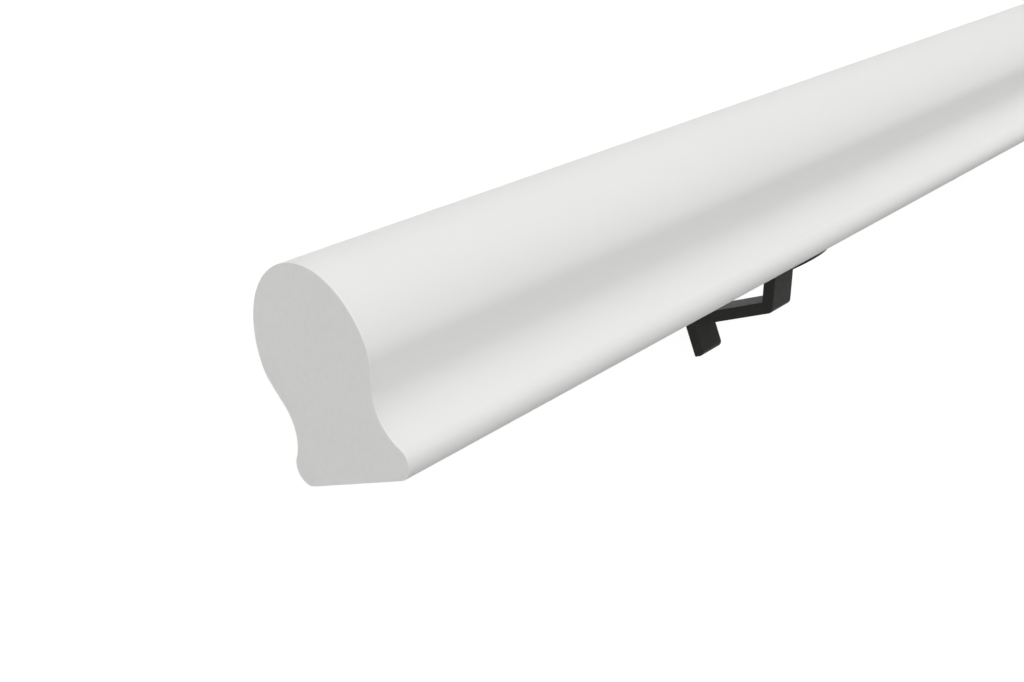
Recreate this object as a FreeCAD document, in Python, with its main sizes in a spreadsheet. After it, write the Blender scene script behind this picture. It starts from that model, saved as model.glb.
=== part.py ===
import FreeCAD, Part
import math
import os
import Sketcher

# A handrail moulding with three flat-bar wall brackets, lying on its wall plates.
# X runs along the rail, Y from the rail's foot to its crown, and Z out of the wall.
# The origin is on the wall plane, midway along the rail, level with the rail's underside.
# Lengths are in millimetres and angles in degrees.

SIZES = (
    ("rail_length", 2400.0, "length of the rail"),
    ("rail_height", 76.0, "underside of the rail to its crown"),
    ("head_width", 58.0, "widest part of the head"),
    ("foot_width", 60.4, "widest part of the foot"),
    ("crown_radius", 27.2, "radius of the crown"),
    ("crown_angle", 48.0, "half the angle that the crown's arc spans"),
    ("bead_radius", 15.5, "radius of the head's lower edges, under its widest part"),
    ("flank_slant", 21.3, "lean of the flat flanks under the head, from upright"),
    ("cove_radius", 17.3, "radius of the finger grooves"),
    ("foot_radius", 6.3, "radius of the foot's rounded edges"),
    ("end_arris", 0.5, "easing of the rail's sawn ends"),
    ("wall_to_centre", 59.4, "wall to the centre of the rail"),
    ("end_to_bracket", 270.7, "end of the rail to the middle of the end bracket"),
    ("bar_width", 17.4, "width of the bracket's flat bar"),
    ("bar_thickness", 5.9, "thickness of the bracket's flat bar"),
    ("arm_below_rail", 23.5, "underside of the rail to the underside of the arm"),
    ("neck_offset", 1.5, "middle of the rail to the middle of the neck, where it meets the saddle"),
    ("neck_slant", 23.6, "lean of the neck towards the wall, from upright"),
    ("plate_below_rail", 39.7, "underside of the rail to the wall plate's lower end"),
    ("plate_above_rail", 48.0, "underside of the rail to the wall plate's upper end"),
    ("outer_radius", 3.1, "front corners of the wall plate's ends and of the neck's foot"),
    ("inner_radius", 1.0, "hollow corners where the arm meets the wall plate and the neck"),
    ("edge_bevel", 0.4, "softened long edges of the bar"),
    ("saddle_length", 69.0, "length of the oval saddle"),
    ("saddle_width", 33.2, "width of the oval saddle"),
    ("saddle_thickness", 3.5, "thickness of the saddle"),
    ("saddle_bevel", 0.4, "softened lower edge of the saddle"),
    ("wall_hole", 5.5, "diameter of the wall screw holes"),
    ("wall_hole_sink", 10.4, "diameter of the countersinks in the wall plate"),
    ("wall_hole_spacing", 28.0, "between the two wall screw holes"),
    ("wall_hole_to_end", 10.0, "upper wall screw hole to the wall plate's upper end"),
    ("saddle_hole", 4.5, "diameter of the saddle's screw holes"),
    ("saddle_hole_sink", 8.6, "diameter of the countersinks in the saddle"),
    ("saddle_hole_spacing", 42.0, "between the saddle's two screw holes"),
)
VALUE = {name: value for name, value, meaning in SIZES}
COUNTERSINK_ANGLE = 90.0
NEAR = 0.01


def make_sheet(doc):
    sheet = doc.addObject("Spreadsheet::Sheet", "Sizes")
    for row, (name, value, meaning) in enumerate(SIZES, start=1):
        sheet.set("A%d" % row, meaning)
        sheet.set("B%d" % row, str(value))
        sheet.setAlias("B%d" % row, name)
    doc.recompute()


def new_body(doc, label):
    body = doc.addObject("PartDesign::Body", label)
    body.Label = label
    return body


def new_sketch(body, name, role):
    """A sketch on one of the body's own origin planes."""
    sketch = body.newObject("Sketcher::SketchObject", name)
    plane = [item for item in body.Origin.OriginFeatures if item.Role == role][0]
    sketch.AttachmentSupport = [(plane, "")]
    sketch.MapMode = "FlatFace"
    return sketch


def dimension(sketch, name, expression, kind, *points):
    """Adds a named dimension, whose value follows the sheet."""
    value = sketch.evalExpression(expression)
    if kind == "Angle":
        value = math.radians(value)
    index = sketch.addConstraint(Sketcher.Constraint(kind, *points, value))
    sketch.renameConstraint(index, name)
    sketch.setExpression("Constraints." + name, expression)


def faces_where(feature, test):
    """Names of the feature's faces that pass the test."""
    faces = enumerate(feature.Shape.Faces, start=1)
    return ["Face%d" % number for number, face in faces if test(face)]


def edges_where(feature, test):
    """Names of the feature's edges that pass the test."""
    edges = enumerate(feature.Shape.Edges, start=1)
    return ["Edge%d" % number for number, edge in edges if test(edge)]


# Rail

def vector(up, out):
    return FreeCAD.Vector(up, out, 0)


def mirrored(point):
    return vector(point.x, -point.y)


def towards(start, target, distance):
    """The point at a distance from start, on the line through target."""
    return start + (target - start).normalize() * distance


def side_radius():
    """Radius of the head's sides, so that they follow the crown and reach the head's width."""
    turn = math.sin(math.radians(VALUE["crown_angle"]))
    return (VALUE["head_width"] / 2 - VALUE["crown_radius"] * turn) / (1 - turn)


def front_half():
    """The front half's arcs and its flat flank, from the crown's arc down to the underside.

    Each is its start, its end, its centre, its radius and whether it turns left; the flank has no
    centre. Points are height and distance out.
    """
    crown = vector(VALUE["rail_height"] - VALUE["crown_radius"], 0)
    turn = math.radians(VALUE["crown_angle"])
    outward = vector(math.cos(turn), math.sin(turn))
    crown_side = crown + outward * VALUE["crown_radius"]
    side = crown_side - outward * side_radius()
    widest = side + vector(0, side_radius())
    bead = widest - vector(0, VALUE["bead_radius"])
    slant = math.radians(VALUE["flank_slant"])
    facing = vector(-math.sin(slant), math.cos(slant))
    downward = vector(-math.cos(slant), -math.sin(slant))
    bead_flank = bead + facing * VALUE["bead_radius"]
    foot = vector(VALUE["foot_radius"], VALUE["foot_width"] / 2 - VALUE["foot_radius"])
    # The cove's centre is a cove's radius off the flank, and both radii away from the foot's centre.
    beside = bead_flank + facing * VALUE["cove_radius"]
    gap = beside - foot
    behind = gap.dot(downward)
    reach = VALUE["foot_radius"] + VALUE["cove_radius"]
    flank = downward * (-behind - math.sqrt(behind ** 2 - gap.Length ** 2 + reach ** 2))
    cove = beside + flank
    flank_cove = bead_flank + flank
    cove_foot = towards(foot, cove, VALUE["foot_radius"])
    under = vector(0, foot.y)
    return (
        (crown_side, widest, side, side_radius(), True),
        (widest, bead_flank, bead, VALUE["bead_radius"], True),
        (bead_flank, flank_cove, None, 0, True),
        (flank_cove, cove_foot, cove, VALUE["cove_radius"], False),
        (cove_foot, under, foot, VALUE["foot_radius"], True),
    )


def back_half():
    """The front half seen in a mirror, from the underside up to the crown's arc."""
    return [(mirrored(end), mirrored(start), centre and mirrored(centre), radius, left)
            for start, end, centre, radius, left in reversed(front_half())]


def add_run(sketch, start, end, centre, radius, turns_left):
    """Adds an arc or a line; returns its number and those of its first and last points on the walk."""
    if centre is None:
        return sketch.addGeometry(Part.LineSegment(end, start)), 2, 1
    first = math.atan2(start.y - centre.y, start.x - centre.x)
    last = math.atan2(end.y - centre.y, end.x - centre.x)
    circle = Part.Circle(centre, FreeCAD.Vector(0, 0, 1), radius)
    if turns_left:
        return sketch.addGeometry(Part.ArcOfCircle(circle, first, last)), 1, 2
    return sketch.addGeometry(Part.ArcOfCircle(circle, last, first)), 2, 1


def draw_rail_section(sketch):
    """A flat underside, two flat flanks and nine arcs, all tangent and the same on both sides."""
    front = front_half()
    crown_end = front[0][0]
    under = front[-1][1]
    crown = vector(VALUE["rail_height"] - VALUE["crown_radius"], 0)
    walk = [add_run(sketch, under, mirrored(under), None, 0, True)]
    for run in back_half():
        walk.append(add_run(sketch, *run))
    walk.append(add_run(sketch, mirrored(crown_end), crown_end, crown, VALUE["crown_radius"], True))
    for run in front:
        walk.append(add_run(sketch, *run))
    for piece, following in zip(walk, walk[1:] + walk[:1]):
        sketch.addConstraint(
            Sketcher.Constraint("Tangent", piece[0], piece[2], following[0], following[1]))
    return [piece[0] for piece in walk]


def constrain_rail_section(sketch, walk):
    underside, foot_back, cove_back, flank_back, bead_back, side_back, crown = walk[:7]
    side_front, bead_front, flank_front, cove_front, foot_front = walk[7:]
    sketch.addConstraint(Sketcher.Constraint("PointOnObject", underside, 1, -2))
    sketch.addConstraint(Sketcher.Constraint("PointOnObject", crown, 3, -1))
    sketch.addConstraint(Sketcher.Constraint("Symmetric", foot_back, 3, foot_front, 3, -1))
    sketch.addConstraint(Sketcher.Constraint("Vertical", side_back, 3, side_front, 3))
    # The head is widest level with its sides' centres, where the beads begin.
    sketch.addConstraint(Sketcher.Constraint("Vertical", side_back, 3, side_back, 1))
    sketch.addConstraint(Sketcher.Constraint("Vertical", side_front, 3, side_front, 2))
    for back, front in ((foot_back, foot_front), (cove_back, cove_front), (flank_back, flank_front),
                        (bead_back, bead_front), (side_back, side_front)):
        sketch.addConstraint(Sketcher.Constraint("Equal", back, front))
    dimension(sketch, "crown_radius", "Sizes.crown_radius", "Radius", crown)
    dimension(sketch, "bead_radius", "Sizes.bead_radius", "Radius", bead_front)
    dimension(sketch, "cove_radius", "Sizes.cove_radius", "Radius", cove_front)
    dimension(sketch, "foot_radius", "Sizes.foot_radius", "Radius", foot_front)
    dimension(sketch, "side_radius",
              "(Sizes.head_width / 2 - Sizes.crown_radius * sin(Sizes.crown_angle))"
              " / (1 - sin(Sizes.crown_angle))",
              "Radius", side_front)
    dimension(sketch, "flank_slant", "Sizes.flank_slant", "Angle", flank_front)
    dimension(sketch, "crown_up", "Sizes.rail_height - Sizes.crown_radius",
              "DistanceX", -1, 1, crown, 3)
    dimension(sketch, "crown_out", "Sizes.crown_radius * sin(Sizes.crown_angle)",
              "DistanceY", -1, 1, crown, 2)
    dimension(sketch, "foot_out", "Sizes.foot_width / 2 - Sizes.foot_radius",
              "DistanceY", -1, 1, foot_front, 3)


def make_rail(doc):
    body = new_body(doc, "rail")
    section = new_sketch(body, "rail_section", "YZ_Plane")
    constrain_rail_section(section, draw_rail_section(section))
    pad = body.newObject("PartDesign::Pad", "rail_pad")
    pad.Profile = section
    pad.setExpression("Length", "Sizes.rail_length")
    doc.recompute()
    ends = faces_where(pad, lambda face: abs(face.normalAt(0, 0).x) > 1 - NEAR)
    soften(body, "Chamfer", "rail_end_arris", pad, ends, "end_arris")
    body.setExpression("Placement.Base.x", "-Sizes.rail_length / 2")
    body.setExpression("Placement.Base.z", "Sizes.wall_to_centre")
    return body


# Brackets

def bar_outline():
    """Corners of the bar seen from its side, as height and distance from the wall."""
    thickness = VALUE["bar_thickness"]
    slant = math.radians(VALUE["neck_slant"])
    arm_bottom = -VALUE["arm_below_rail"]
    arm_top = arm_bottom + thickness
    neck_top = -VALUE["saddle_thickness"] / 2
    middle = VALUE["wall_to_centre"] - VALUE["neck_offset"] - neck_top * math.tan(slant)
    front_top = middle + thickness / 2 / math.cos(slant)
    back_top = middle - thickness / 2 / math.cos(slant)
    return (
        vector(-VALUE["plate_below_rail"], 0),
        vector(VALUE["plate_above_rail"], 0),
        vector(VALUE["plate_above_rail"], thickness),
        vector(arm_top, thickness),
        vector(arm_top, back_top - (neck_top - arm_top) * math.tan(slant)),
        vector(neck_top, back_top),
        vector(neck_top, front_top),
        vector(arm_bottom, front_top - (neck_top - arm_bottom) * math.tan(slant)),
        vector(arm_bottom, thickness),
        vector(-VALUE["plate_below_rail"], thickness),
    )


def draw_bar_outline(sketch):
    """Wall plate, arm and neck as one closed line of constant thickness."""
    corners = bar_outline()
    sides = [sketch.addGeometry(Part.LineSegment(start, end))
             for start, end in zip(corners, corners[1:] + corners[:1])]
    wall, upper_end, plate_top, arm_top, neck_back = sides[:5]
    neck_end, neck_front, arm_bottom, plate_bottom, lower_end = sides[5:]
    for side, following in zip(sides, sides[1:] + sides[:1]):
        sketch.addConstraint(Sketcher.Constraint("Coincident", side, 2, following, 1))
    for side in (wall, plate_top, plate_bottom):
        sketch.addConstraint(Sketcher.Constraint("Horizontal", side))
    for side in (upper_end, arm_top, neck_end, arm_bottom, lower_end):
        sketch.addConstraint(Sketcher.Constraint("Vertical", side))
    sketch.addConstraint(Sketcher.Constraint("Parallel", neck_back, neck_front))
    sketch.addConstraint(Sketcher.Constraint("PointOnObject", wall, 1, -1))
    dimension(sketch, "plate_below_rail", "Sizes.plate_below_rail", "DistanceX", wall, 1, -1, 1)
    dimension(sketch, "plate_above_rail", "Sizes.plate_above_rail", "DistanceX", -1, 1, wall, 2)
    dimension(sketch, "upper_thickness", "Sizes.bar_thickness",
              "DistanceY", upper_end, 1, upper_end, 2)
    dimension(sketch, "lower_thickness", "Sizes.bar_thickness",
              "DistanceY", lower_end, 2, lower_end, 1)
    dimension(sketch, "arm_below_rail", "Sizes.arm_below_rail",
              "DistanceX", arm_bottom, 1, -1, 1)
    dimension(sketch, "arm_thickness", "Sizes.bar_thickness",
              "DistanceX", arm_bottom, 2, arm_top, 1)
    dimension(sketch, "neck_slant", "Sizes.neck_slant", "Angle", neck_back)
    dimension(sketch, "neck_into_saddle", "Sizes.saddle_thickness / 2",
              "DistanceX", neck_front, 1, -1, 1)
    dimension(sketch, "neck_width", "Sizes.bar_thickness / cos(Sizes.neck_slant)",
              "DistanceY", neck_end, 1, neck_end, 2)
    dimension(sketch, "neck_out",
              "Sizes.wall_to_centre - Sizes.neck_offset"
              " + Sizes.bar_thickness / 2 / cos(Sizes.neck_slant)"
              " + Sizes.saddle_thickness / 2 * tan(Sizes.neck_slant)",
              "DistanceY", -1, 1, neck_front, 1)


def make_bar(doc, body):
    outline = new_sketch(body, "bar_outline", "YZ_Plane")
    draw_bar_outline(outline)
    bar = body.newObject("PartDesign::Pad", "bar")
    bar.Profile = outline
    bar.SideType = "Symmetric"
    bar.setExpression("Length", "Sizes.bar_width")
    doc.recompute()
    return bar


def runs_along_x(edge):
    """True for a straight edge that runs along the rail."""
    return edge.Curve.TypeId == "Part::GeomLine" and abs(edge.Curve.Direction.x) > 1 - NEAR


def is_arm_level(edge):
    """True for the edges along the rail at the arm's upper and lower faces."""
    arm_bottom = -VALUE["arm_below_rail"]
    arm_top = arm_bottom + VALUE["bar_thickness"]
    level = edge.CenterOfMass.y
    return runs_along_x(edge) and (abs(level - arm_top) < NEAR or abs(level - arm_bottom) < NEAR)


def is_outer_corner(edge):
    """True for the front corners of the wall plate's ends, and for the foot of the neck."""
    middle = edge.CenterOfMass
    in_front = middle.z > VALUE["bar_thickness"] - NEAR
    at_lower_end = abs(middle.y + VALUE["plate_below_rail"]) < NEAR
    at_upper_end = abs(middle.y - VALUE["plate_above_rail"]) < NEAR
    at_foot = is_arm_level(edge) and is_neck_foot(middle)
    return runs_along_x(edge) and (in_front and (at_lower_end or at_upper_end) or at_foot)


def is_neck_foot(point):
    """True for a point on the arm's underside, where the neck's front meets it."""
    underside = abs(point.y + VALUE["arm_below_rail"]) < NEAR
    return underside and point.z > VALUE["wall_to_centre"] / 2


def is_inner_corner(edge):
    """True for the arm's hollow corners: two at the wall plate and one at the neck."""
    return is_arm_level(edge) and not is_neck_foot(edge.CenterOfMass)


def is_front_edge(edge):
    """True for the long edges on both sides of the bar, apart from those on the wall."""
    middle = edge.CenterOfMass
    side = abs(abs(middle.x) - VALUE["bar_width"] / 2) < NEAR
    inside_saddle = middle.y > -VALUE["saddle_thickness"] and middle.z > VALUE["bar_thickness"] + NEAR
    return side and middle.z > VALUE["bar_thickness"] / 2 + NEAR and not inside_saddle


def soften(body, kind, name, base, edges, size):
    """Rounds edges with a Fillet or bevels them with a Chamfer, by a size from the sheet."""
    feature = body.newObject("PartDesign::" + kind, name)
    feature.Base = (base, edges)
    feature.setExpression({"Fillet": "Radius", "Chamfer": "Size"}[kind], "Sizes." + size)
    return feature


def make_saddle(doc, body):
    """The oval plate that the rail sits on, centred under it."""
    sketch = new_sketch(body, "saddle_outline", "XZ_Plane")
    centre = FreeCAD.Vector(0, VALUE["wall_to_centre"], 0)
    length_end = centre + FreeCAD.Vector(VALUE["saddle_length"] / 2, 0, 0)
    width_end = centre + FreeCAD.Vector(0, VALUE["saddle_width"] / 2, 0)
    oval = sketch.addGeometry(Part.Ellipse(length_end, width_end, centre))
    sketch.exposeInternalGeometry(oval)
    long_axis = oval + 1
    short_axis = oval + 2
    sketch.addConstraint(Sketcher.Constraint("Horizontal", long_axis))
    sketch.addConstraint(Sketcher.Constraint("PointOnObject", oval, 3, -2))
    dimension(sketch, "saddle_out", "Sizes.wall_to_centre", "DistanceY", -1, 1, oval, 3)
    dimension(sketch, "saddle_length", "Sizes.saddle_length", "Distance", long_axis)
    dimension(sketch, "saddle_width", "Sizes.saddle_width", "Distance", short_axis)
    saddle = body.newObject("PartDesign::Pad", "saddle")
    saddle.Profile = sketch
    saddle.setExpression("Length", "Sizes.saddle_thickness")
    doc.recompute()
    return saddle


def is_saddle_rim(edge):
    """True for the oval edge on the saddle's underside."""
    oval = edge.Curve.TypeId == "Part::GeomEllipse"
    return oval and abs(edge.CenterOfMass.y + VALUE["saddle_thickness"]) < NEAR


def make_screw_holes(doc, body, name, sketch, size):
    """Countersunk holes through the bracket, at the sketch's circles."""
    doc.recompute()
    hole = body.newObject("PartDesign::Hole", name)
    hole.Profile = sketch
    hole.DepthType = "ThroughAll"
    hole.Threaded = False
    hole.HoleCutType = "Countersink"
    hole.HoleCutCustomValues = True
    hole.HoleCutCountersinkAngle = COUNTERSINK_ANGLE
    hole.setExpression("Diameter", "Sizes." + size)
    hole.setExpression("HoleCutDiameter", "Sizes.%s_sink" % size)
    doc.recompute()


def make_wall_holes(doc, body):
    """Two holes in the wall plate above the arm, sunk in its front face."""
    sketch = new_sketch(body, "wall_hole_centres", "XY_Plane")
    sketch.setExpression("AttachmentOffset.Base.z", "Sizes.bar_thickness")
    radius = VALUE["wall_hole"] / 2
    upper_at = VALUE["plate_above_rail"] - VALUE["wall_hole_to_end"]
    upper = sketch.addGeometry(circle_at(0, upper_at, radius))
    lower = sketch.addGeometry(circle_at(0, upper_at - VALUE["wall_hole_spacing"], radius))
    dimension(sketch, "wall_hole", "Sizes.wall_hole", "Diameter", upper)
    sketch.addConstraint(Sketcher.Constraint("Equal", upper, lower))
    for circle in (upper, lower):
        sketch.addConstraint(Sketcher.Constraint("PointOnObject", circle, 3, -2))
    dimension(sketch, "upper_hole", "Sizes.plate_above_rail - Sizes.wall_hole_to_end",
              "DistanceY", -1, 1, upper, 3)
    dimension(sketch, "hole_spacing", "Sizes.wall_hole_spacing", "DistanceY", lower, 3, upper, 3)
    make_screw_holes(doc, body, "wall_holes", sketch, "wall_hole")


def make_saddle_holes(doc, body):
    """Two holes in the saddle, one each side of the neck, sunk in its underside."""
    sketch = new_sketch(body, "saddle_hole_centres", "XZ_Plane")
    sketch.setExpression("AttachmentOffset.Base.z", "Sizes.saddle_thickness")
    radius = VALUE["saddle_hole"] / 2
    half = VALUE["saddle_hole_spacing"] / 2
    near = sketch.addGeometry(circle_at(-half, VALUE["wall_to_centre"], radius))
    far = sketch.addGeometry(circle_at(half, VALUE["wall_to_centre"], radius))
    dimension(sketch, "saddle_hole", "Sizes.saddle_hole", "Diameter", near)
    sketch.addConstraint(Sketcher.Constraint("Equal", near, far))
    sketch.addConstraint(Sketcher.Constraint("Symmetric", near, 3, far, 3, -2))
    dimension(sketch, "hole_spacing", "Sizes.saddle_hole_spacing", "DistanceX", near, 3, far, 3)
    dimension(sketch, "holes_out", "Sizes.wall_to_centre", "DistanceY", -1, 1, near, 3)
    make_screw_holes(doc, body, "saddle_holes", sketch, "saddle_hole")


def circle_at(across, along, radius):
    centre = FreeCAD.Vector(across, along, 0)
    return Part.Circle(centre, FreeCAD.Vector(0, 0, 1), radius)


def make_bracket(doc, label, position):
    """One bracket, welded from flat bar and an oval plate, at a place along the rail."""
    body = new_body(doc, label)
    feature = make_bar(doc, body)
    softened = (
        ("Fillet", "inner_corners", is_inner_corner, "inner_radius"),
        ("Fillet", "outer_corners", is_outer_corner, "outer_radius"),
        ("Chamfer", "long_edges", is_front_edge, "edge_bevel"),
    )
    for kind, name, test, size in softened:
        feature = soften(body, kind, name, feature, edges_where(feature, test), size)
        doc.recompute()
    saddle = make_saddle(doc, body)
    soften(body, "Chamfer", "saddle_rim", saddle, edges_where(saddle, is_saddle_rim), "saddle_bevel")
    doc.recompute()
    make_wall_holes(doc, body)
    make_saddle_holes(doc, body)
    body.setExpression("Placement.Base.x", position)
    return body


# Check and save

def check(doc, bodies):
    """Stops if any feature failed or any piece isn't a sound solid."""
    for item in doc.Objects:
        if "Invalid" in item.State or "Error" in item.State:
            raise RuntimeError("%s failed: %s" % (item.Label, item.State))
    for body in bodies:
        if body.Shape.isNull() or not body.Shape.isValid() or len(body.Shape.Solids) != 1:
            raise RuntimeError("%s isn't one sound solid" % body.Label)


def main():
    doc = FreeCAD.newDocument("handrail")
    make_sheet(doc)
    places = (
        ("bracket_near", "Sizes.end_to_bracket - Sizes.rail_length / 2"),
        ("bracket_middle", "0"),
        ("bracket_far", "Sizes.rail_length / 2 - Sizes.end_to_bracket"),
    )
    bodies = [make_rail(doc)]
    for label, position in places:
        bodies.append(make_bracket(doc, label, position))
    doc.recompute()
    check(doc, bodies)
    os.makedirs("parts", exist_ok=True)
    for body in bodies:
        body.Shape.exportStep("parts/%s.step" % body.Label)
        print("%s: %.0f cubic mm, %s" % (body.Label, body.Shape.Volume, body.Shape.BoundBox))


main()
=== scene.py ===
import math

import bmesh
import bpy
import numpy as np
from bpy.props import FloatProperty, FloatVectorProperty, PointerProperty
from bpy.types import Operator, Panel, PropertyGroup
from mathutils import Matrix, Vector


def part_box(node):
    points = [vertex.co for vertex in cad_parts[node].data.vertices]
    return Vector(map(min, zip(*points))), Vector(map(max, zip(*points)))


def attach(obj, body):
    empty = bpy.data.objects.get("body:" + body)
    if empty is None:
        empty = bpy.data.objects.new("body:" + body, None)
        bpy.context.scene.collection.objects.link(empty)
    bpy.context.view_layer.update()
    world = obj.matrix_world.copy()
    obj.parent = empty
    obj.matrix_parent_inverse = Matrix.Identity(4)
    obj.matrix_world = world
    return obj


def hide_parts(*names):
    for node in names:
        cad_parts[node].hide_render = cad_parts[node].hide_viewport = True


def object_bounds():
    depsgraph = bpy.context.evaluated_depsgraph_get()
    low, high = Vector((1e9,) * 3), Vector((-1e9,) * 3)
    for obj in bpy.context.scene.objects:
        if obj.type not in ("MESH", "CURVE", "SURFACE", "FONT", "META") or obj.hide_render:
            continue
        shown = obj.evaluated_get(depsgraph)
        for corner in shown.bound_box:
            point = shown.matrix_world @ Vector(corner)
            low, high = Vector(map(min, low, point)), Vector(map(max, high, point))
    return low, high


# A white handrail moulding on three black wall brackets, lying on its wall plates.
# X runs along the rail, Y from its foot to its crown, and Z out of the wall.
# The origin is on the wall plane, midway along the rail, level with the rail's underside.
# Lengths are in metres.

bl_info = {
    "name": "Handrail",
    "version": (1, 0, 0),
    "blender": (4, 5, 0),
    "location": "View3D > Sidebar > Handrail",
    "description": "Builds a painted handrail moulding on flat-bar wall brackets",
    "category": "Add Mesh",
}

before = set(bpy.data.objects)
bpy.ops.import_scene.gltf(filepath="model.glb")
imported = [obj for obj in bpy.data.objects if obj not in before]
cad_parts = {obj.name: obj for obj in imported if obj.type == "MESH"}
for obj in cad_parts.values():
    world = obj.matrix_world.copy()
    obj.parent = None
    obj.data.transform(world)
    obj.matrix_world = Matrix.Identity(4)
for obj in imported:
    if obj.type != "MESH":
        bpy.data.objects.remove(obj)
CAD_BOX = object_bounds()
RAIL_LOW, RAIL_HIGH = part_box("rail")
X, Y, Z = range(3)
# Points nearer to each other than this are one point.
SAME_PLACE = 1e-6
# Edges that turn further than this stay sharp in the shading.
CREASE = math.radians(35)
QUARTER = math.pi / 2


def length_property(name, description, default):
    """A setting in metres."""
    return FloatProperty(name=name, description=description, default=default, min=0.0,
                         unit="LENGTH", subtype="DISTANCE", precision=5)


def angle_property(name, description, degrees):
    """A setting that is an angle."""
    return FloatProperty(name=name, description=description, default=math.radians(degrees),
                         unit="ROTATION", subtype="ANGLE")


def colour_property(name, description, default):
    """A setting that is a colour."""
    return FloatVectorProperty(name=name, description=description, default=default,
                               subtype="COLOR", size=3, min=0.0, max=1.0)


class HandrailRail(PropertyGroup):
    """Sizes and paint of the rail."""
    length: length_property("Length", "Rail from end to end", RAIL_HIGH.x - RAIL_LOW.x)
    height: length_property("Height", "Underside of the rail to its crown", 0.076)
    head_width: length_property("Head width", "Widest part of the head", 0.058)
    foot_width: length_property("Foot width", "Widest part of the foot", 0.0604)
    crown_radius: length_property("Crown radius", "Radius of the crown", 0.0272)
    crown_angle: angle_property("Crown angle", "Half the angle that the crown's arc spans", 48)
    bead_radius: length_property("Bead radius", "Radius of the head's lower edges", 0.0155)
    flank_slant: angle_property("Flank slant", "Lean of the flat flanks under the head", 21.3)
    cove_radius: length_property("Cove radius", "Radius of the finger grooves", 0.0173)
    foot_radius: length_property("Foot radius", "Radius of the foot's rounded edges", 0.0063)
    end_arris: length_property("End arris", "Rounding of the sawn ends", 0.00025)
    wall_to_centre: length_property("Wall to centre", "Wall to the centre of the rail", 0.0594)
    paint: colour_property("Paint", "Satin paint on the rail", (0.86, 0.86, 0.846))


class HandrailBracket(PropertyGroup):
    """Sizes and coat of the wall brackets."""
    end_to_bracket: length_property("End to bracket", "Rail's end to the end bracket", 0.2707)
    bar_width: length_property("Bar width", "Width of the flat bar", 0.0174)
    bar_thickness: length_property("Bar thickness", "Thickness of the flat bar", 0.0059)
    arm_below: length_property("Arm below rail", "Rail's underside to the arm's", 0.0235)
    neck_offset: length_property("Neck offset", "Rail's middle to the neck's at the saddle", 0.0015)
    neck_slant: angle_property("Neck slant", "Lean of the neck towards the wall", 23.6)
    plate_below: length_property("Plate below", "Rail's underside to the plate's lower end", 0.0397)
    plate_above: length_property("Plate above", "Rail's underside to the plate's upper end", 0.048)
    outer_radius: length_property("Outer radius", "Front corners of plate and neck", 0.0031)
    inner_radius: length_property("Inner radius", "Hollow corners of the bar", 0.001)
    wall_edge_radius: length_property("Wall edge radius", "Plate's ends, at the wall", 0.0006)
    edge_radius: length_property("Edge radius", "Rounding of the bar's long edges", 0.0005)
    weld_radius: length_property("Weld radius", "Ground weld between neck and saddle", 0.0012)
    saddle_length: length_property("Saddle length", "Length of the oval saddle", 0.069)
    saddle_width: length_property("Saddle width", "Width of the oval saddle", 0.0332)
    saddle_thickness: length_property("Saddle thickness", "Thickness of the saddle", 0.0035)
    saddle_edge: length_property("Saddle edge", "Rounding of the saddle's lower edge", 0.0005)
    saddle_top_edge: length_property("Saddle top edge", "Rounding of its upper edge", 0.0003)
    wall_hole: length_property("Wall hole", "Diameter of the wall screw holes", 0.0055)
    wall_sink: length_property("Wall countersink", "Diameter of their countersinks", 0.0104)
    wall_hole_spacing: length_property("Wall hole spacing", "Between the wall holes", 0.028)
    wall_hole_to_end: length_property("Wall hole to end", "Upper hole to the plate's end", 0.010)
    saddle_hole: length_property("Saddle hole", "Diameter of the saddle's holes", 0.0045)
    saddle_sink: length_property("Saddle countersink", "Diameter of their countersinks", 0.0086)
    saddle_hole_spacing: length_property("Saddle hole spacing", "Between the saddle holes", 0.042)
    coat: colour_property("Coat", "Matt black powder coat", (0.031, 0.031, 0.0293))


class HandrailScrew(PropertyGroup):
    """Sizes and finish of the wood screws in the saddles."""
    head: length_property("Head", "Diameter of the countersunk head", 0.0081)
    shank: length_property("Shank", "Diameter of the plain shank", 0.0040)
    sunk: length_property("Sunk", "Depth of the head below the saddle's face", 0.0002)
    recess_span: length_property("Recess span", "Tip to tip of the cross recess", 0.0050)
    recess_width: length_property("Recess width", "Width of the recess's wings", 0.0011)
    recess_depth: length_property("Recess depth", "Depth of the cross recess", 0.0017)
    arris: length_property("Arris", "Bevel of the head's edge and of the recess's", 0.00012)
    steel: colour_property("Steel", "Blackened steel", (0.09, 0.09, 0.095))


class HandrailStage(PropertyGroup):
    """Floor and light."""
    floor_size: length_property("Floor size", "Side of the square floor", 60.0)
    floor_colour: colour_property("Floor colour", "Plain pale floor", (0.85, 0.85, 0.85))


# Shapes

# Points on each run of one side of the rail's section, and the number of the hollow run.
CROWN_STEPS, SIDE_STEPS, BEAD_STEPS, FLANK_STEPS, COVE_STEPS, FOOT_STEPS = 22, 26, 14, 6, 34, 36
COVE_RUN = 4
# Rings of points on the rail's sawn edges and along the rail.
ARRIS_STEPS = 6
RAIL_STEPS = 26
# Points on each rounding of a bracket, round its saddle and round a hole.
BAR_STEPS = 9
WELD_STEPS = 7
SADDLE_EDGE_STEPS = 6
SADDLE_TOP_EDGE_STEPS = 4
OVAL_STEPS = 120
HOLE_STEPS = 40
# The bar's faces with screw holes end at these of its rounded corners, from the neck's back on.
DRILLED_BEFORE = (2, 4)
# Where the two holes or screws of a saddle are, as shares of their spacing.
EACH_SIDE = (-0.5, 0.5)
# A cross recess: its wings, the points beside each, and its shape as shares of its rim and depth.
WINGS = 4
WING_STEPS = 5
RECESS_FLOOR_SHARE = 0.55
RECESS_FLOOR_DEPTH = 0.86
RECESS_RIM_INSIDE = 0.94
RECESS_RIM_OUTSIDE = 1.05


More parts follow.
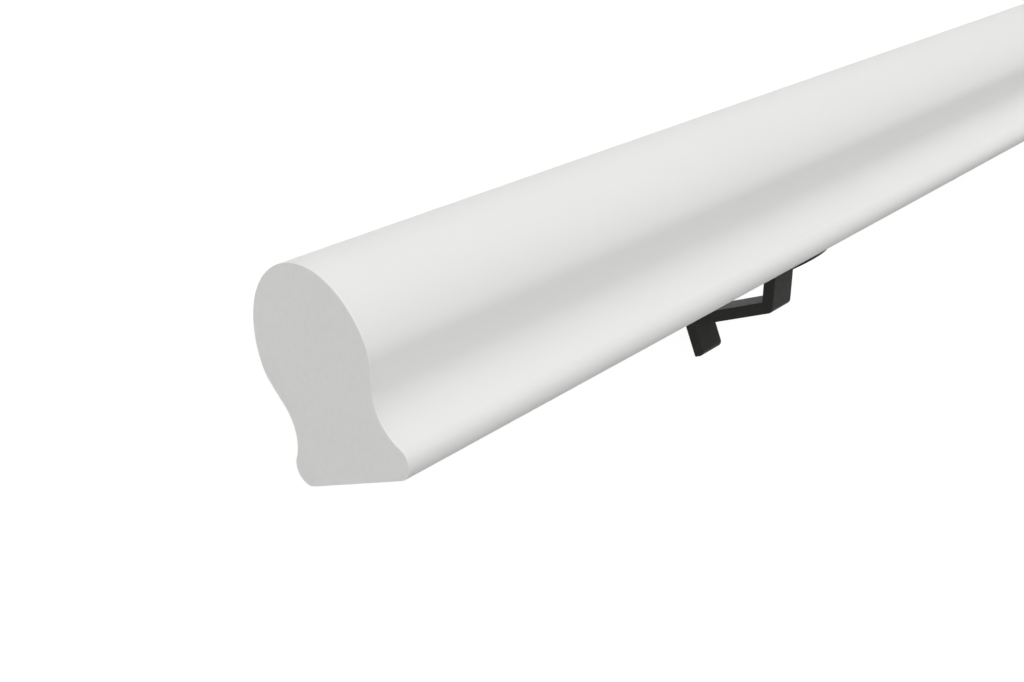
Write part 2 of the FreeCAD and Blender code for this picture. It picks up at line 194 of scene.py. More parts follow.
def arc(centre, radius, start, end, steps):
    """Points round a centre at equal steps of angle, and the directions from the centre to them."""
    angle = np.linspace(start, end, steps)
    around = np.stack([np.cos(angle), np.sin(angle)], axis=1)
    return np.asarray(centre) + radius * around, around


def heading(start, target):
    """Angle of the way from start to target."""
    return math.atan2(target[1] - start[1], target[0] - start[0])


def rail_section(rail):
    """Outline of the rail across its length, as height and distance out, with outward normals.

    Each side is six tangent runs: the crown's, side's and bead's arcs, a flat flank, the cove's
    arc and the foot's. The side's radius follows from the head's width, where the bead begins. The
    cove's centre is a cove's radius off the flank, and both radii away from the foot's centre.
    """
    turn, slant = rail.crown_angle, rail.flank_slant
    outward = np.array([math.cos(turn), math.sin(turn)])
    side_radius = (rail.head_width / 2 - rail.crown_radius * outward[1]) / (1 - outward[1])
    crown = np.array([rail.height - rail.crown_radius, 0.0])
    side = crown + outward * (rail.crown_radius - side_radius)
    bead = side + np.array([0.0, side_radius - rail.bead_radius])
    facing = np.array([-math.sin(slant), math.cos(slant)])
    downward = np.array([-math.cos(slant), -math.sin(slant)])
    bead_flank = bead + facing * rail.bead_radius
    foot = np.array([rail.foot_radius, rail.foot_width / 2 - rail.foot_radius])
    beside = bead_flank + facing * rail.cove_radius
    gap = beside - foot
    behind = gap @ downward
    reach = rail.foot_radius + rail.cove_radius
    flank = downward * (-behind - math.sqrt(behind ** 2 - gap @ gap + reach ** 2))
    cove = beside + flank
    flat = np.linspace(bead_flank, bead_flank + flank, FLANK_STEPS)
    half = (
        arc(crown, rail.crown_radius, 0, turn, CROWN_STEPS),
        arc(side, side_radius, turn, QUARTER, SIDE_STEPS),
        arc(bead, rail.bead_radius, QUARTER, QUARTER + slant, BEAD_STEPS),
        (flat, np.tile(facing, (FLANK_STEPS, 1))),
        arc(cove, rail.cove_radius, slant - QUARTER, heading(cove, foot), COVE_STEPS),
        arc(foot, rail.foot_radius, heading(foot, cove), math.pi, FOOT_STEPS),
    )
    points = np.vstack([run[1:] for run, _ in half])
    normals = np.vstack([(-away if number == COVE_RUN else away)[1:]
                         for number, (_, away) in enumerate(half)])
    top = np.array([[rail.height, 0.0]])
    up = np.array([[1.0, 0.0]])
    mirror = np.array([1.0, -1.0])
    points = np.vstack([top, points, points[::-1] * mirror])
    normals = np.vstack([up, normals, normals[::-1] * mirror])
    return points, normals


def rounding(radius, steps):
    """A quarter round, from a flat face to its side: how far in it still is, and how far down."""
    angle = np.linspace(0, QUARTER, steps)
    return radius * (1 - np.sin(angle)), radius * (1 - np.cos(angle)), angle


def grid_faces(rows, columns, closed):
    """Quads between neighbouring rows of points. A closed grid's last column joins its first."""
    row, column = np.mgrid[0:rows - 1, 0:columns if closed else columns - 1]
    following = (column + 1) % columns
    corners = [row * columns + column, row * columns + following,
               (row + 1) * columns + following, (row + 1) * columns + column]
    return np.stack(corners, axis=-1).reshape(-1, 4)


def place_points(x, y, z):
    """A list of points from grids or lines of coordinates that spread over one another."""
    return np.stack(np.broadcast_arrays(x, y, z), axis=-1).reshape(-1, 3)


def rail_surface(rail):
    """The section carried along the rail, drawn in by a quarter round at both ends.

    A point is (along, height - in * normal up, out - in * normal out); in is zero but for the ends.
    """
    points, normals = rail_section(rail)
    inset, back, angle = rounding(rail.end_arris, ARRIS_STEPS)
    half = rail.length / 2
    stations = np.linspace(back[-1] - half, half - back[-1], RAIL_STEPS)[1:-1]
    plain = np.zeros(len(stations))
    along = np.concatenate([back - half, stations, (half - back)[::-1]])
    inward = np.concatenate([inset, plain, inset[::-1]])
    endwise = np.concatenate([-np.cos(angle), plain, np.cos(angle)[::-1]])
    across = np.sqrt(1 - endwise ** 2)
    drawn = points[None] - inward[:, None, None] * normals[None]
    placed = place_points(along[:, None], drawn[..., 0], drawn[..., 1] + rail.wall_to_centre)
    facing = place_points(endwise[:, None], *(across[:, None] * part for part in normals.T))
    faces = grid_faces(len(along), len(points), closed=True).tolist()
    ring = np.arange(len(points))
    near_end = ring[::-1].tolist()
    far_end = (ring + len(placed) - len(points)).tolist()
    return placed, facing, faces + [near_end, far_end]


def bar_corners(bracket, wall_to_centre):
    """Corners of the bar seen from its side, from the neck's back top round to its front top."""
    thickness = bracket.bar_thickness
    lean = math.tan(bracket.neck_slant)
    half_neck = thickness / 2 / math.cos(bracket.neck_slant)
    arm_bottom = -bracket.arm_below
    arm_top = arm_bottom + thickness
    neck_top = -bracket.saddle_thickness - bracket.weld_radius

    def neck_at(height):
        return wall_to_centre - bracket.neck_offset + (height + bracket.saddle_thickness) * lean

    return np.array([
        (neck_top, neck_at(neck_top) - half_neck),
        (arm_top, neck_at(arm_top) - half_neck),
        (arm_top, thickness),
        (bracket.plate_above, thickness),
        (bracket.plate_above, 0),
        (-bracket.plate_below, 0),
        (-bracket.plate_below, thickness),
        (arm_bottom, thickness),
        (arm_bottom, neck_at(arm_bottom) + half_neck),
        (neck_top, neck_at(neck_top) + half_neck),
    ])


def rounded_line(corners, radii, steps):
    """An open line with its inner corners rounded, its outward normals, and where each run starts.

    A corner's arc is centred where its two sides, each moved by the radius, meet.
    """
    sides = np.diff(corners, axis=0)
    sides /= np.linalg.norm(sides, axis=1)[:, None]
    outward = np.stack([-sides[:, 1], sides[:, 0]], axis=1)
    points, normals, runs = [corners[:1]], [outward[:1]], []
    for number in range(1, len(corners) - 1):
        before, after = sides[number - 1], sides[number]
        turn = before[0] * after[1] - before[1] * after[0]
        convex = 1.0 if turn < 0 else -1.0
        radius = radii[number - 1]
        old, new = outward[number - 1], outward[number]
        centre = corners[number] - convex * radius * (old + new) / (1 + old @ new)
        first = math.atan2(convex * old[1], convex * old[0])
        sweep = -convex * math.acos(np.clip(before @ after, -1, 1))
        around, away = arc(centre, radius, first, first + sweep, steps)
        points.append(around)
        normals.append(away * convex)
        runs.append(1 + (number - 1) * steps)
    points.append(corners[-1:])
    normals.append(outward[-1:])
    return np.vstack(points), np.vstack(normals), runs


def bar_patches(bracket, wall_to_centre):
    """The bar as its outline, rounded towards both sides: strips for the long edges, and the faces
    between them. The flat sides, the wall plate's drilled faces and the neck's end stay open.
    """
    hollow, outer, wall = bracket.inner_radius, bracket.outer_radius, bracket.wall_edge_radius
    radii = (hollow, hollow, outer, wall, wall, outer, hollow, outer)
    line, normals, runs = rounded_line(bar_corners(bracket, wall_to_centre), radii, BAR_STEPS)
    # At the neck's end the edges are drawn in level, so that the end stays level too.
    level = 1 / math.cos(bracket.neck_slant)
    drawing = normals.copy()
    drawing[0] = (0, -level)
    drawing[-1] = (0, level)
    inset, down, angle = rounding(bracket.edge_radius, BAR_STEPS)
    half = bracket.bar_width / 2
    across = half - down
    drawn = line[None] - inset[:, None, None] * drawing[None]
    strip = grid_faces(len(inset), len(line), closed=False)
    patches = [(place_points(side * across[:, None], drawn[..., 0], drawn[..., 1]), strip)
               for side in (1, -1)]
    inner = half - bracket.edge_radius
    between = place_points(np.array([-inner, inner])[:, None], line[:, 0], line[:, 1])
    drilled = [runs[corner] - 1 for corner in DRILLED_BEFORE]
    faces = np.delete(grid_faces(2, len(line), closed=False), drilled, axis=0)
    patches.append((between, faces))
    return patches, neck_loop(across, line, inset * level, angle)


def neck_loop(across, line, inset, angle):
    """The closed line round the neck's open end, and its outward directions.

    Both are distances across the bar and out of the wall. The right half is a quarter round at the
    front and one at the back, and the left half is its mirror image.
    """
    front, back = line[-1, 1], line[0, 1]
    turning = np.stack([np.cos(angle), np.sin(angle)], axis=1)
    front_right = np.stack([across, front - inset], axis=1)
    back_right = np.stack([across, back + inset], axis=1)
    flip_across = np.array([-1.0, 1.0])
    flip_out = np.array([1.0, -1.0])
    points = np.vstack([front_right, (front_right * flip_across)[::-1],
                        back_right * flip_across, back_right[::-1]])
    directions = np.vstack([turning, (turning * flip_across)[::-1],
                            turning * flip_across * flip_out, (turning * flip_out)[::-1]])
    return points, directions


def weld_patch(bracket, neck):
    """A hollow quarter round from the neck's sides out onto the saddle's underside.

    A point is (across + out * direction), out = radius * (1 - cos), rising by radius * sin.
    """
    points, directions = neck
    angle = np.linspace(0, QUARTER, WELD_STEPS)
    rise = bracket.weld_radius * np.sin(angle)
    out = bracket.weld_radius * (1 - np.cos(angle))
    widened = points[None] + out[:, None, None] * directions[None]
    placed = place_points(widened[..., 0],
                          (rise - bracket.saddle_thickness - bracket.weld_radius)[:, None],
                          widened[..., 1] + (rise * math.tan(bracket.neck_slant))[:, None])
    return placed, grid_faces(len(angle), len(points), closed=True)


def saddle_patch(bracket, wall_to_centre):
    """The oval saddle's rim: an ellipse carried up its edge.

    It is drawn in along its normals by the quarter rounds at the bottom and the top.
    """
    angle = np.linspace(0, 2 * math.pi, OVAL_STEPS, endpoint=False)
    long_half, short_half = bracket.saddle_length / 2, bracket.saddle_width / 2
    oval = np.stack([long_half * np.cos(angle), short_half * np.sin(angle)], axis=1)
    normal = np.stack([np.cos(angle) / long_half, np.sin(angle) / short_half], axis=1)
    normal /= np.linalg.norm(normal, axis=1)[:, None]
    low_in, low_up, _ = rounding(bracket.saddle_edge, SADDLE_EDGE_STEPS)
    top_in, top_down, _ = rounding(bracket.saddle_top_edge, SADDLE_TOP_EDGE_STEPS)
    inward = np.concatenate([low_in, top_in[::-1]])
    height = np.concatenate([low_up - bracket.saddle_thickness, -top_down[::-1]])
    drawn = oval[None] - inward[:, None, None] * normal[None]
    placed = place_points(drawn[..., 0], height[:, None], drawn[..., 1] + wall_to_centre)
    return placed, grid_faces(len(inward), len(angle), closed=True)


def hole_patch(centre, open_face, through, sink, bore, axis):
    """A countersunk hole: rings about an axis, from the sink's mouth down to the bore's far end.

    The sink's radius narrows by as much as it goes deep. The axis is Y or Z.
    """
    angle = np.linspace(0, 2 * math.pi, HOLE_STEPS, endpoint=False)
    direction = math.copysign(1, through - open_face)
    radius = np.array([sink, bore, bore]) / 2
    height = np.array([open_face, open_face + direction * (sink - bore) / 2, through])
    along = centre[0] + radius[:, None] * np.cos(angle)
    aside = centre[1] + radius[:, None] * np.sin(angle)
    level = height[:, None]
    if axis == Y:
        placed = place_points(along, level, aside)
    else:
        placed = place_points(along, aside, level)
    return placed, grid_faces(len(radius), len(angle), closed=True)


def bracket_patches(bracket, wall_to_centre):
    """Every patch of a bracket that stands at the middle of the rail."""
    patches, neck = bar_patches(bracket, wall_to_centre)
    patches.append(weld_patch(bracket, neck))
    patches.append(saddle_patch(bracket, wall_to_centre))
    upper = bracket.plate_above - bracket.wall_hole_to_end
    for height in (upper, upper - bracket.wall_hole_spacing):
        patches.append(hole_patch((0, height), bracket.bar_thickness, 0.0,
                                  bracket.wall_sink, bracket.wall_hole, axis=Z))
    for side in EACH_SIDE:
        patches.append(hole_patch((side * bracket.saddle_hole_spacing, wall_to_centre),
                                  -bracket.saddle_thickness, 0.0,
                                  bracket.saddle_sink, bracket.saddle_hole, axis=Y))
    return patches


def screw_surface(screw, bracket, centre):
    """A countersunk screw head with a cross recess, seen from below the saddle, and its shank.

    Rings about the axis, each a radius for every angle, and a height. The recess's rim is a cross:
    the nearer of the wing's tip, span / 2 / cos, and its side, width / 2 / sin, for the angle from
    the nearest wing. The recess narrows towards its floor, which a point in the middle closes.
    """
    tip = screw.recess_span / 2
    side = screw.recess_width / 2
    corner = math.atan2(side, tip)
    beside = np.linspace(corner, QUARTER / 2, WING_STEPS)
    wing = np.concatenate([-beside[::-1], [0.0], beside[:-1]])
    angle = (np.arange(WINGS)[:, None] * QUARTER + wing[None]).ravel()
    from_wing = np.tile(wing, WINGS)
    sine = np.maximum(np.abs(np.sin(from_wing)), SAME_PLACE)
    cross = np.minimum(tip / np.cos(from_wing), side / sine)
    head, shank = screw.head / 2, screw.shank / 2
    even = np.ones_like(angle)
    face = screw.sunk - bracket.saddle_thickness
    rings = (
        (even * SAME_PLACE, face + screw.recess_depth),
        (cross * RECESS_FLOOR_SHARE, face + screw.recess_depth * RECESS_FLOOR_DEPTH),
        (cross * RECESS_RIM_INSIDE, face + screw.arris / 2),
        (cross * RECESS_RIM_OUTSIDE, face),
        (even * (head - screw.arris), face),
        (even * head, face + screw.arris),
        (even * shank, face + screw.arris + head - shank),
        (even * shank, 0.0),
        (even * SAME_PLACE, 0.0),
    )
    radius = np.array([ring[0] for ring in rings])
    height = np.array([ring[1] for ring in rings])
    placed = place_points(centre[0] + radius * np.cos(angle), height[:, None],
                          centre[1] + radius * np.sin(angle))
    return placed, grid_faces(len(rings), len(angle), closed=True)


# Meshes

# How much the larger faces decide their corners' shading: the most that there is.
LARGEST_FACES = 100
# Merges the tiny rings that close a screw on its axis.
AXIS_MERGE = 4 * SAME_PLACE


def join(patches):
    """Patches of points and faces as one list of each."""
    starts = np.cumsum([0] + [len(points) for points, _ in patches])
    points = np.vstack([points for points, _ in patches])
    faces = np.vstack([patch + start for start, (_, patch) in zip(starts, patches)])
    return points.tolist(), faces.tolist()


def flat_edges(mesh, axis, level):
    """Open edges that lie in the plane where the axis has that level."""
    return [edge for edge in mesh.edges if edge.is_boundary
            and all(abs(vertex.co[axis] - level) < SAME_PLACE for vertex in edge.verts)]


def closed_mesh(name, patches, flats, merge=SAME_PLACE):
    """A mesh of the patches, welded along their shared edges, with flat faces filled in between.

    Each flat is an axis and a level; its open edges bound the face and the holes in it.
    """
    points, faces = join(patches)
    data = bpy.data.meshes.new(name)
    data.from_pydata(points, [], faces)
    mesh = bmesh.new()
    mesh.from_mesh(data)
    bmesh.ops.remove_doubles(mesh, verts=mesh.verts, dist=merge)
    for axis, level in flats:
        edges = flat_edges(mesh, axis, level)
        bmesh.ops.triangle_fill(mesh, edges=edges, use_beauty=True, use_dissolve=False)
    open_edges = sum(not edge.is_manifold for edge in mesh.edges)
    if open_edges:
        raise RuntimeError("%s has %d open edges" % (name, open_edges))
    bmesh.ops.recalc_face_normals(mesh, faces=mesh.faces)
    mesh.to_mesh(data)
    mesh.free()
    return data


def add_piece(data, material):
    """A piece at the origin with one finish, which rides on the object's only body."""
    piece = bpy.data.objects.new(data.name, data)
    bpy.context.scene.collection.objects.link(piece)
    data.materials.append(material)
    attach(piece, "root")
    return piece


def shade_hard(piece):
    """Smooth faces with creases at sharp corners. Flat faces look flat beside round ones."""
    piece.data.shade_smooth()
    piece.data.set_sharp_from_angle(angle=CREASE)
    evened = piece.modifiers.new("even_flats", "WEIGHTED_NORMAL")
    evened.keep_sharp = True
    evened.weight = LARGEST_FACES


# Finishes

# Most of a noise's values lie between these.
NOISE_LOW, NOISE_HIGH = 0.3, 0.7


def new_material(name, colour, roughness, specular=0.5):
    """A material, its nodes, its shader and the object's own coordinates."""
    material = bpy.data.materials.new(name)
    material.use_nodes = True
    tree = material.node_tree
    shader = tree.nodes["Principled BSDF"]
    shader.inputs["Base Color"].default_value = (*colour, 1.0)
    shader.inputs["Roughness"].default_value = roughness
    shader.inputs["Specular IOR Level"].default_value = specular
    place = tree.nodes.new("ShaderNodeTexCoord")
    return material, tree, shader, place.outputs["Object"]


def noise(tree, place, scale, detail=2.0, stretch=(1.0, 1.0, 1.0)):
    """Soft noise; scale is in patches for each metre, and stretch sets it apart for each axis."""
    mapping = tree.nodes.new("ShaderNodeMapping")
    mapping.inputs["Scale"].default_value = stretch
    texture = tree.nodes.new("ShaderNodeTexNoise")
    texture.inputs["Scale"].default_value = scale
    texture.inputs["Detail"].default_value = detail
    tree.links.new(place, mapping.inputs["Vector"])
    tree.links.new(mapping.outputs["Vector"], texture.inputs["Vector"])
    return texture.outputs["Fac"]


def spread(tree, value, low, high):
    """The noise's values, carried to low and high."""
    ranged = tree.nodes.new("ShaderNodeMapRange")
    ranged.inputs["From Min"].default_value = NOISE_LOW
    ranged.inputs["From Max"].default_value = NOISE_HIGH
    ranged.inputs["To Min"].default_value = low
    ranged.inputs["To Max"].default_value = high
    tree.links.new(value, ranged.inputs["Value"])
    return ranged.outputs["Result"]


def mottle(tree, shader, value, colour, depth):
    """Base colour that varies with the value, between the colour and a shade darker by depth."""
    mix = tree.nodes.new("ShaderNodeMix")
    mix.data_type = "RGBA"
    mix.inputs["A"].default_value = (*colour, 1.0)
    mix.inputs["B"].default_value = (*[part * (1 - depth) for part in colour], 1.0)
    tree.links.new(spread(tree, value, 0.0, 1.0), mix.inputs["Factor"])
    tree.links.new(mix.outputs["Result"], shader.inputs["Base Color"])


def gloss(tree, shader, value, low, high):
    """Roughness that varies with the value, from low to high."""
    tree.links.new(spread(tree, value, low, high), shader.inputs["Roughness"])


def bump(tree, shader, layers):
    """Layers of relief, each a value and its height in metres, one on top of another."""
    below = None
    for value, height in layers:
        layer = tree.nodes.new("ShaderNodeBump")
        layer.inputs["Strength"].default_value = 1.0
        layer.inputs["Distance"].default_value = height
        tree.links.new(value, layer.inputs["Height"])
        if below:
            tree.links.new(below, layer.inputs["Normal"])
        below = layer.outputs["Normal"]
    tree.links.new(below, shader.inputs["Normal"])


def rail_paint(colour):
    """Sprayed satin paint on planed timber: a fine peel, with the grain faint under it."""
    material, tree, shader, place = new_material("rail_paint", colour, 0.6, specular=0.2)
    clouds = noise(tree, place, scale=22, detail=3.0, stretch=(0.25, 1.0, 1.0))
    mottle(tree, shader, clouds, colour, depth=0.012)
    gloss(tree, shader, noise(tree, place, scale=90), low=0.56, high=0.66)
    grain = noise(tree, place, scale=420, stretch=(0.02, 1.0, 1.0))
    peel = noise(tree, place, scale=750, detail=1.0)
    bump(tree, shader, ((grain, 0.000006), (peel, 0.000004)))
    return material


def rail_end_paint(colour):
    """The same paint on the sawn end, where the open grain drinks it and leaves it rougher."""
    material, tree, shader, place = new_material("rail_end_paint", colour, 0.7, specular=0.08)
    speckle = noise(tree, place, scale=650, stretch=(1.0, 0.45, 1.0))
    mottle(tree, shader, speckle, colour, depth=0.03)
    gloss(tree, shader, noise(tree, place, scale=300), low=0.65, high=0.75)
    pores = noise(tree, place, scale=1300, detail=3.0)
    saw = noise(tree, place, scale=500, detail=1.0, stretch=(1.0, 0.03, 1.0))
    bump(tree, shader, ((saw, 0.00001), (pores, 0.000015)))
    return material


def bracket_coat(colour):
    """Matt black powder coat: a close peel, slightly uneven in gloss."""
    material, tree, shader, place = new_material("bracket_coat", colour, 0.45, specular=0.07)
    mottle(tree, shader, noise(tree, place, scale=300), colour, depth=0.12)
    gloss(tree, shader, noise(tree, place, scale=500), low=0.4, high=0.5)
    peel = noise(tree, place, scale=1100, detail=1.0)
    grit = noise(tree, place, scale=3200, detail=1.0)
    bump(tree, shader, ((peel, 0.000014), (grit, 0.000006)))
    return material


def screw_steel(colour):
    """Blackened steel with faint turning marks."""
    material, tree, shader, place = new_material("screw_steel", colour, 0.35)
    shader.inputs["Metallic"].default_value = 1.0
    mottle(tree, shader, noise(tree, place, scale=900), colour, depth=0.3)
    gloss(tree, shader, noise(tree, place, scale=1500), low=0.3, high=0.42)
    bump(tree, shader, ((noise(tree, place, scale=2600), 0.000004),))
    return material


# Operators

# Each bracket's name, and which way it is from the rail's middle.
PLACES = (("near", -1.0), ("middle", 0.0), ("far", 1.0))


def bracket_position(scene, along):
    """Where a bracket's middle is along the rail."""
    return along * (scene.handrail_rail.length / 2 - scene.handrail_bracket.end_to_bracket)


class HANDRAIL_OT_rail(Operator):
    """Builds the painted rail in place of the plain one"""
    bl_idname = "handrail.rail"
    bl_label = "Rail"

    def execute(self, context):
        rail = context.scene.handrail_rail
        points, normals, faces = rail_surface(rail)
        data = bpy.data.meshes.new("painted_rail")
        data.from_pydata(points.tolist(), [], faces)
        data.shade_smooth()
        data.normals_split_custom_set_from_vertices(normals.tolist())
        piece = add_piece(data, rail_paint(rail.paint))
        data.materials.append(rail_end_paint(rail.paint))
        for sawn_end in data.polygons[-2:]:
            sawn_end.material_index = 1
        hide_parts("rail")
        return {"FINISHED"}


class HANDRAIL_OT_brackets(Operator):
    """Builds the coated brackets in place of the plain ones"""
    bl_idname = "handrail.brackets"
    bl_label = "Brackets"

    def execute(self, context):
        bracket = context.scene.handrail_bracket
        patches = bracket_patches(bracket, context.scene.handrail_rail.wall_to_centre)
        half = bracket.bar_width / 2
        flats = ((X, half), (X, -half), (Z, bracket.bar_thickness), (Z, 0.0),
                 (Y, -bracket.saddle_thickness), (Y, 0.0))
        coat = bracket_coat(bracket.coat)
        for name, along in PLACES:
            data = closed_mesh("coated_bracket_" + name, patches, flats)
            data.transform(Matrix.Translation((bracket_position(context.scene, along), 0, 0)))
            piece = add_piece(data, coat)
            shade_hard(piece)
            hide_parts("bracket_" + name)
        return {"FINISHED"}


class HANDRAIL_OT_screws(Operator):
    """Builds the wood screws that hold each saddle to the rail"""
    bl_idname = "handrail.screws"
    bl_label = "Saddle screws"

    def execute(self, context):
        scene = context.scene
        spacing = scene.handrail_bracket.saddle_hole_spacing
        steel = screw_steel(scene.handrail_screw.steel)
        for name, along in PLACES:
            middle = bracket_position(scene, along)
            patches = [screw_surface(scene.handrail_screw, scene.handrail_bracket,
                                     (middle + side * spacing, scene.handrail_rail.wall_to_centre))
                       for side in EACH_SIDE]
            data = closed_mesh("saddle_screws_" + name, patches, (), merge=AXIS_MERGE)
            shade_hard(add_piece(data, steel))
        return {"FINISHED"}


# Camera, floor and light

CAMERA_PLACE = (-1.42878, 0.08485, 0.39225)
CAMERA_RIGHT = (0.65949, -0.30869, 0.68541)
CAMERA_UP = (0.31698, 0.94096, 0.11879)
CAMERA_LENS = 43.70
CAMERA_SENSOR = 36.0
CAMERA_CLIP = (0.01, 100.0)
FLOOR_GAP = 0.0001
# Each lamp: name, where it stands, the point it faces, its side and its strength in watts.
LAMPS = (
    ("key_softbox", (-0.6, 1.69, 3.63), (-0.6, 0.0, 0.0), 2.2, 59.0),
    ("end_softbox", (-3.43, 0.0, 2.83), (-0.6, 0.0, 0.0), 2.2, 54.0),
    ("crown_softbox", (-0.6, 3.76, 1.37), (-0.6, 0.0, 0.0), 2.2, 35.3),
    ("far_end_softbox", (3.4, 0.1, 0.5), (1.2, 0.02, 0.06), 0.8, 20.5),
)
SKY_STRENGTH = 0.148
# The floor as the camera sees it is a plain white and a shade that the lamps light, added up.
WHITE_SHARE = 0.925
SHADED_SHARE = 0.14
# How far from the origin the floor's shadows begin to fade, and where it is plain white.
FADE_FROM = 1.8
FADE_TO = 2.8
WHITE = (1.0, 1.0, 1.0, 1.0)


def seen_ray(tree):
    """1 for a ray that shows the surface itself: from the camera, in gloss or through glass."""
    path = tree.nodes.new("ShaderNodeLightPath")
    both = tree.nodes.new("ShaderNodeMath")
    both.operation = "MAXIMUM"
    tree.links.new(path.outputs["Is Camera Ray"], both.inputs[0])
    tree.links.new(path.outputs["Is Glossy Ray"], both.inputs[1])
    every = tree.nodes.new("ShaderNodeMath")
    every.operation = "MAXIMUM"
    tree.links.new(both.outputs["Value"], every.inputs[0])
    tree.links.new(path.outputs["Is Transmission Ray"], every.inputs[1])
    return every.outputs["Value"]


def floor_finish(colour):
    """A pale floor that lights the object as it is, and shows white but for the object's shadow.

    Away from the object the shadow fades, by the distance from the origin, into plain white.
    """
    material = bpy.data.materials.new("floor")
    material.use_nodes = True
    tree = material.node_tree
    tree.nodes.clear()
    plain = tree.nodes.new("ShaderNodeBsdfDiffuse")
    plain.inputs["Color"].default_value = (*colour, 1.0)
    shaded = tree.nodes.new("ShaderNodeBsdfDiffuse")
    shaded.inputs["Color"].default_value = (SHADED_SHARE,) * 3 + (1.0,)
    white = tree.nodes.new("ShaderNodeEmission")
    white.inputs["Strength"].default_value = WHITE_SHARE
    shown = tree.nodes.new("ShaderNodeAddShader")
    tree.links.new(shaded.outputs["BSDF"], shown.inputs[0])
    tree.links.new(white.outputs["Emission"], shown.inputs[1])
    place = tree.nodes.new("ShaderNodeTexCoord")
    distance = tree.nodes.new("ShaderNodeVectorMath")
    distance.operation = "LENGTH"
    tree.links.new(place.outputs["Object"], distance.inputs[0])
    fade = tree.nodes.new("ShaderNodeMapRange")
    fade.inputs["From Min"].default_value = FADE_FROM
    fade.inputs["From Max"].default_value = FADE_TO
    tree.links.new(distance.outputs["Value"], fade.inputs["Value"])
    backdrop = tree.nodes.new("ShaderNodeEmission")
    faded = tree.nodes.new("ShaderNodeMixShader")
    tree.links.new(fade.outputs["Result"], faded.inputs["Fac"])
    tree.links.new(shown.outputs["Shader"], faded.inputs[1])
    tree.links.new(backdrop.outputs["Emission"], faded.inputs[2])
    chosen = tree.nodes.new("ShaderNodeMixShader")
    tree.links.new(seen_ray(tree), chosen.inputs["Fac"])
    tree.links.new(plain.outputs["BSDF"], chosen.inputs[1])
    tree.links.new(faded.outputs["Shader"], chosen.inputs[2])
    output = tree.nodes.new("ShaderNodeOutputMaterial")
    tree.links.new(chosen.outputs["Shader"], output.inputs["Surface"])
    return material


def add_floor(stage):
    """A wide floor just under the object."""
    half = stage.floor_size / 2
    level = CAD_BOX[0].z - FLOOR_GAP
    data = bpy.data.meshes.new("floor")
    corners = ((-half, -half), (half, -half), (half, half), (-half, half))
    data.from_pydata([(*corner, level) for corner in corners], [], [(0, 1, 2, 3)])
    data.materials.append(floor_finish(stage.floor_colour))
    floor = bpy.data.objects.new("floor", data)
    bpy.context.scene.collection.objects.link(floor)


def add_lamp(name, place, target, side, strength):
    """A square soft lamp that faces its target."""
    data = bpy.data.lights.new(name, "AREA")
    data.shape = "SQUARE"
    data.size = side
    data.energy = strength
    lamp = bpy.data.objects.new(name, data)
    lamp.location = place
    aim = Vector(target) - Vector(place)
    lamp.rotation_euler = aim.to_track_quat("-Z", "Y").to_euler()
    lamp.visible_camera = False
    bpy.context.scene.collection.objects.link(lamp)


def add_world():
    """An even sky, which shows white."""
    world = bpy.data.worlds.new("studio")
    world.use_nodes = True
    tree = world.node_tree
    tree.nodes.clear()
    light = tree.nodes.new("ShaderNodeBackground")
    light.inputs["Color"].default_value = WHITE
    light.inputs["Strength"].default_value = SKY_STRENGTH
    white = tree.nodes.new("ShaderNodeBackground")
    white.inputs["Color"].default_value = WHITE
    chosen = tree.nodes.new("ShaderNodeMixShader")
    tree.links.new(seen_ray(tree), chosen.inputs["Fac"])
    tree.links.new(light.outputs["Background"], chosen.inputs[1])
    tree.links.new(white.outputs["Background"], chosen.inputs[2])
    output = tree.nodes.new("ShaderNodeOutputWorld")
    tree.links.new(chosen.outputs["Shader"], output.inputs["Surface"])
    bpy.context.scene.world = world


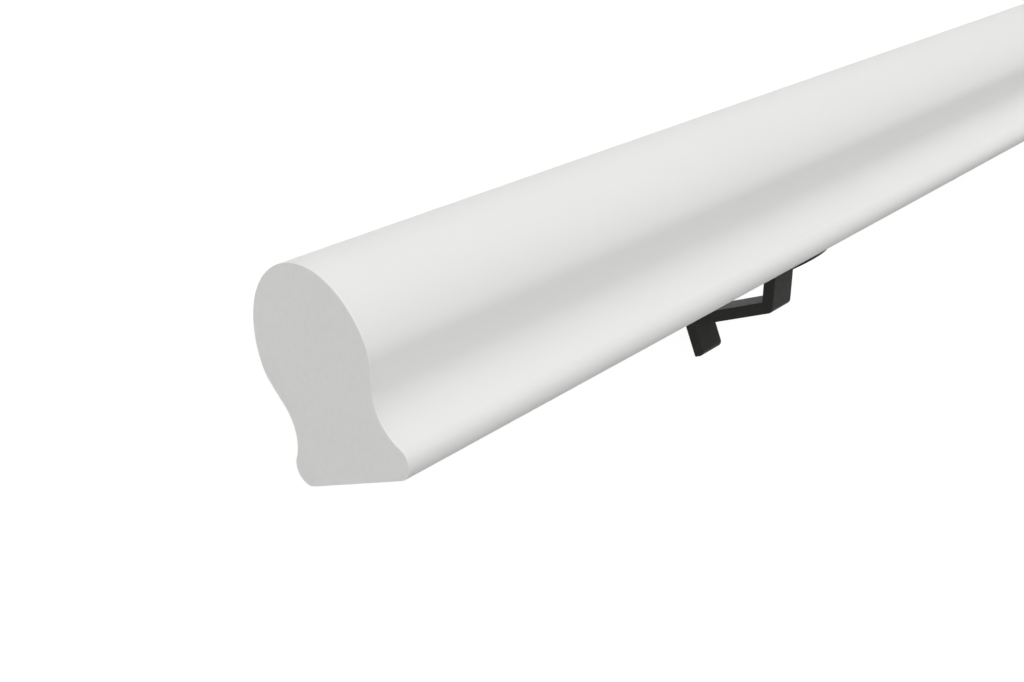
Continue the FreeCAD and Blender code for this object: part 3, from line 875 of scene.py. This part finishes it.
def add_camera():
    """The camera that took the photograph, worked out from the rail's vanishing point."""
    data = bpy.data.cameras.new("camera")
    data.sensor_width = CAMERA_SENSOR
    data.lens = CAMERA_LENS
    data.clip_start, data.clip_end = CAMERA_CLIP
    right = Vector(CAMERA_RIGHT)
    up = Vector(CAMERA_UP)
    turn = Matrix((right, up, right.cross(up))).transposed()
    camera = bpy.data.objects.new("camera", data)
    camera.matrix_world = Matrix.Translation(CAMERA_PLACE) @ turn.to_4x4()
    bpy.context.scene.collection.objects.link(camera)
    bpy.context.scene.camera = camera


class HANDRAIL_OT_stage(Operator):
    """Builds the floor, the lamps and the camera"""
    bl_idname = "handrail.stage"
    bl_label = "Stage"

    def execute(self, context):
        add_floor(context.scene.handrail_stage)
        for lamp in LAMPS:
            add_lamp(*lamp)
        add_world()
        add_camera()
        context.scene.view_settings.view_transform = "Standard"
        return {"FINISHED"}


class HANDRAIL_PT_panel(Panel):
    """Sizes, finishes and steps of the handrail"""
    bl_label = "Handrail"
    bl_idname = "HANDRAIL_PT_panel"
    bl_space_type = "VIEW_3D"
    bl_region_type = "UI"
    bl_category = "Handrail"

    def draw(self, context):
        for group, settings, step in GROUPS:
            box = self.layout.box()
            box.operator(step.bl_idname)
            values = getattr(context.scene, group)
            for name in settings.__annotations__:
                box.prop(values, name)


GROUPS = (
    ("handrail_rail", HandrailRail, HANDRAIL_OT_rail),
    ("handrail_bracket", HandrailBracket, HANDRAIL_OT_brackets),
    ("handrail_screw", HandrailScrew, HANDRAIL_OT_screws),
    ("handrail_stage", HandrailStage, HANDRAIL_OT_stage),
)


def register():
    """Makes the settings, steps and panel known to Blender."""
    for group, settings, step in GROUPS:
        bpy.utils.register_class(settings)
        bpy.utils.register_class(step)
        setattr(bpy.types.Scene, group, PointerProperty(type=settings))
    bpy.utils.register_class(HANDRAIL_PT_panel)


def unregister():
    """Takes them out again, the last one first."""
    bpy.utils.unregister_class(HANDRAIL_PT_panel)
    for group, settings, step in reversed(GROUPS):
        delattr(bpy.types.Scene, group)
        bpy.utils.unregister_class(step)
        bpy.utils.unregister_class(settings)


def main():
    """Builds the handrail and its stage."""
    register()
    bpy.ops.handrail.rail()
    bpy.ops.handrail.brackets()
    bpy.ops.handrail.screws()
    bpy.ops.handrail.stage()


if __name__ == "__main__":
    main()
